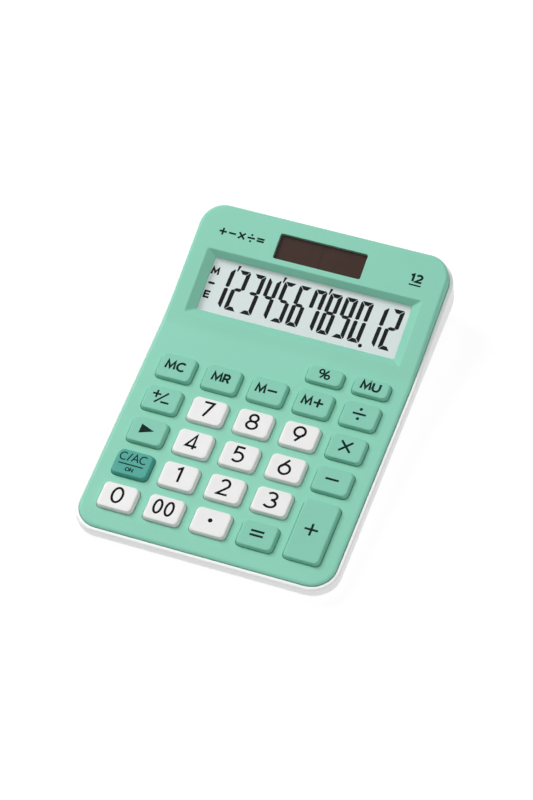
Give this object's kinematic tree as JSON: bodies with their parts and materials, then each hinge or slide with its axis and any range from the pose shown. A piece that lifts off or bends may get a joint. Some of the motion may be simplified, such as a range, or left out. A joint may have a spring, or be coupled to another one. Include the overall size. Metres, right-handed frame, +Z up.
{
  "type": "desk calculator",
  "caption": "Desk calculator with a mint top cover over a white base, a sloping keypad of separate sprung keys, a recessed liquid crystal display and a solar panel.",
  "frame": {"origin": "under the middle of the case, on the surface that the feet stand on", "axes": "+X to the user's right, +Y from the user's edge towards the display end, +Z up"},
  "size_m": [0.1064, 0.1486, 0.0293],
  "materials": {
    "mint_shell": "fine moulded texture",
    "white_shell": "satin moulded",
    "mint_key": "satin moulded",
    "white_key": "satin moulded",
    "teal_key": "satin moulded",
    "clear_window": "clear polished",
    "lcd_glass": "grey-green liquid crystal panel",
    "reflector_sheet": "satin silver-grey film",
    "dark_plastic": "moulded",
    "ribbon_film": "amber film",
    "screw_steel": "zinc plated",
    "solar_window": "clear, tinted by the cell",
    "solar_cell": "dark brown amorphous cell on glass",
    "wire_red": "insulated wire",
    "wire_black": "insulated wire",
    "board": "green solder mask",
    "epoxy": "cast drop",
    "capacitor_sleeve": "shrink sleeve",
    "mat_rubber": "moulded silicone",
    "battery_steel": "plated",
    "contact_metal": "plated spring strip",
    "foot_rubber": "moulded"
  },
  "bodies": {
    "case": {"top_cover": "mint_shell", "rear_cover": "white_shell", "rubber_feet": "foot_rubber", "case_screws": "screw_steel", "display_window": "clear_window", "lcd_panel": "lcd_glass", "lcd_reflector": "reflector_sheet", "lcd_holder": "dark_plastic", "lcd_ribbon": "ribbon_film", "display_screws": "screw_steel", "solar_window": "solar_window", "solar_cell": "solar_cell", "solar_lead_positive": "wire_red", "solar_lead_negative": "wire_black", "circuit_board": "board", "board_screws": "screw_steel", "processor_blob": "epoxy", "board_capacitor": "capacitor_sleeve", "keypad_mat": "mat_rubber", "battery_cell": "battery_steel", "battery_contact_positive": "contact_metal", "battery_contact_negative": "contact_metal", "battery_lead_positive": "wire_red", "battery_lead_negative": "wire_black"},
    "key_percent": {"key_percent": "mint_key"},
    "key_markup": {"key_markup": "mint_key"},
    "key_memory_clear": {"key_memory_clear": "mint_key"},
    "key_memory_recall": {"key_memory_recall": "mint_key"},
    "key_memory_minus": {"key_memory_minus": "mint_key"},
    "key_memory_plus": {"key_memory_plus": "mint_key"},
    "key_divide": {"key_divide": "mint_key"},
    "key_sign": {"key_sign": "mint_key"},
    "key_7": {"key_7": "white_key"},
    "key_8": {"key_8": "white_key"},
    "key_9": {"key_9": "white_key"},
    "key_multiply": {"key_multiply": "mint_key"},
    "key_shift_right": {"key_shift_right": "mint_key"},
    "key_4": {"key_4": "white_key"},
    "key_5": {"key_5": "white_key"},
    "key_6": {"key_6": "white_key"},
    "key_subtract": {"key_subtract": "mint_key"},
    "key_clear_on": {"key_clear_on": "teal_key"},
    "key_1": {"key_1": "white_key"},
    "key_2": {"key_2": "white_key"},
    "key_3": {"key_3": "white_key"},
    "key_0": {"key_0": "white_key"},
    "key_00": {"key_00": "white_key"},
    "key_point": {"key_point": "white_key"},
    "key_equals": {"key_equals": "mint_key"},
    "key_add": {"key_add": "mint_key"}
  },
  "joints": [
    {"name": "key_percent_press", "type": "slide", "parent": "case", "child": "key_percent", "axis": [0, 0.075, -0.9972], "range_m": [0, 0.0012], "stiffness_N_per_m": 400, "deforming": ["keypad_mat"]},
    {"name": "key_markup_press", "type": "slide", "parent": "case", "child": "key_markup", "axis": [0, 0.075, -0.9972], "range_m": [0, 0.0012], "stiffness_N_per_m": 400, "deforming": ["keypad_mat"]},
    {"name": "key_memory_clear_press", "type": "slide", "parent": "case", "child": "key_memory_clear", "axis": [0, 0.075, -0.9972], "range_m": [0, 0.0012], "stiffness_N_per_m": 400, "deforming": ["keypad_mat"]},
    {"name": "key_memory_recall_press", "type": "slide", "parent": "case", "child": "key_memory_recall", "axis": [0, 0.075, -0.9972], "range_m": [0, 0.0012], "stiffness_N_per_m": 400, "deforming": ["keypad_mat"]},
    {"name": "key_memory_minus_press", "type": "slide", "parent": "case", "child": "key_memory_minus", "axis": [0, 0.075, -0.9972], "range_m": [0, 0.0012], "stiffness_N_per_m": 400, "deforming": ["keypad_mat"]},
    {"name": "key_memory_plus_press", "type": "slide", "parent": "case", "child": "key_memory_plus", "axis": [0, 0.075, -0.9972], "range_m": [0, 0.0012], "stiffness_N_per_m": 400, "deforming": ["keypad_mat"]},
    {"name": "key_divide_press", "type": "slide", "parent": "case", "child": "key_divide", "axis": [0, 0.075, -0.9972], "range_m": [0, 0.0012], "stiffness_N_per_m": 400, "deforming": ["keypad_mat"]},
    {"name": "key_sign_press", "type": "slide", "parent": "case", "child": "key_sign", "axis": [0, 0.075, -0.9972], "range_m": [0, 0.0012], "stiffness_N_per_m": 400, "deforming": ["keypad_mat"]},
    {"name": "key_7_press", "type": "slide", "parent": "case", "child": "key_7", "axis": [0, 0.075, -0.9972], "range_m": [0, 0.0012], "stiffness_N_per_m": 400, "deforming": ["keypad_mat"]},
    {"name": "key_8_press", "type": "slide", "parent": "case", "child": "key_8", "axis": [0, 0.075, -0.9972], "range_m": [0, 0.0012], "stiffness_N_per_m": 400, "deforming": ["keypad_mat"]},
    {"name": "key_9_press", "type": "slide", "parent": "case", "child": "key_9", "axis": [0, 0.075, -0.9972], "range_m": [0, 0.0012], "stiffness_N_per_m": 400, "deforming": ["keypad_mat"]},
    {"name": "key_multiply_press", "type": "slide", "parent": "case", "child": "key_multiply", "axis": [0, 0.075, -0.9972], "range_m": [0, 0.0012], "stiffness_N_per_m": 400, "deforming": ["keypad_mat"]},
    {"name": "key_shift_right_press", "type": "slide", "parent": "case", "child": "key_shift_right", "axis": [0, 0.075, -0.9972], "range_m": [0, 0.0012], "stiffness_N_per_m": 400, "deforming": ["keypad_mat"]},
    {"name": "key_4_press", "type": "slide", "parent": "case", "child": "key_4", "axis": [0, 0.075, -0.9972], "range_m": [0, 0.0012], "stiffness_N_per_m": 400, "deforming": ["keypad_mat"]},
    {"name": "key_5_press", "type": "slide", "parent": "case", "child": "key_5", "axis": [0, 0.075, -0.9972], "range_m": [0, 0.0012], "stiffness_N_per_m": 400, "deforming": ["keypad_mat"]},
    {"name": "key_6_press", "type": "slide", "parent": "case", "child": "key_6", "axis": [0, 0.075, -0.9972], "range_m": [0, 0.0012], "stiffness_N_per_m": 400, "deforming": ["keypad_mat"]},
    {"name": "key_subtract_press", "type": "slide", "parent": "case", "child": "key_subtract", "axis": [0, 0.075, -0.9972], "range_m": [0, 0.0012], "stiffness_N_per_m": 400, "deforming": ["keypad_mat"]},
    {"name": "key_clear_on_press", "type": "slide", "parent": "case", "child": "key_clear_on", "axis": [0, 0.075, -0.9972], "range_m": [0, 0.0012], "stiffness_N_per_m": 400, "deforming": ["keypad_mat"]},
    {"name": "key_1_press", "type": "slide", "parent": "case", "child": "key_1", "axis": [0, 0.075, -0.9972], "range_m": [0, 0.0012], "stiffness_N_per_m": 400, "deforming": ["keypad_mat"]},
    {"name": "key_2_press", "type": "slide", "parent": "case", "child": "key_2", "axis": [0, 0.075, -0.9972], "range_m": [0, 0.0012], "stiffness_N_per_m": 400, "deforming": ["keypad_mat"]},
    {"name": "key_3_press", "type": "slide", "parent": "case", "child": "key_3", "axis": [0, 0.075, -0.9972], "range_m": [0, 0.0012], "stiffness_N_per_m": 400, "deforming": ["keypad_mat"]},
    {"name": "key_0_press", "type": "slide", "parent": "case", "child": "key_0", "axis": [0, 0.075, -0.9972], "range_m": [0, 0.0012], "stiffness_N_per_m": 400, "deforming": ["keypad_mat"]},
    {"name": "key_00_press", "type": "slide", "parent": "case", "child": "key_00", "axis": [0, 0.075, -0.9972], "range_m": [0, 0.0012], "stiffness_N_per_m": 400, "deforming": ["keypad_mat"]},
    {"name": "key_point_press", "type": "slide", "parent": "case", "child": "key_point", "axis": [0, 0.075, -0.9972], "range_m": [0, 0.0012], "stiffness_N_per_m": 400, "deforming": ["keypad_mat"]},
    {"name": "key_equals_press", "type": "slide", "parent": "case", "child": "key_equals", "axis": [0, 0.075, -0.9972], "range_m": [0, 0.0012], "stiffness_N_per_m": 400, "deforming": ["keypad_mat"]},
    {"name": "key_add_press", "type": "slide", "parent": "case", "child": "key_add", "axis": [0, 0.075, -0.9972], "range_m": [0, 0.0012], "stiffness_N_per_m": 400, "deforming": ["keypad_mat"]}
  ]
}
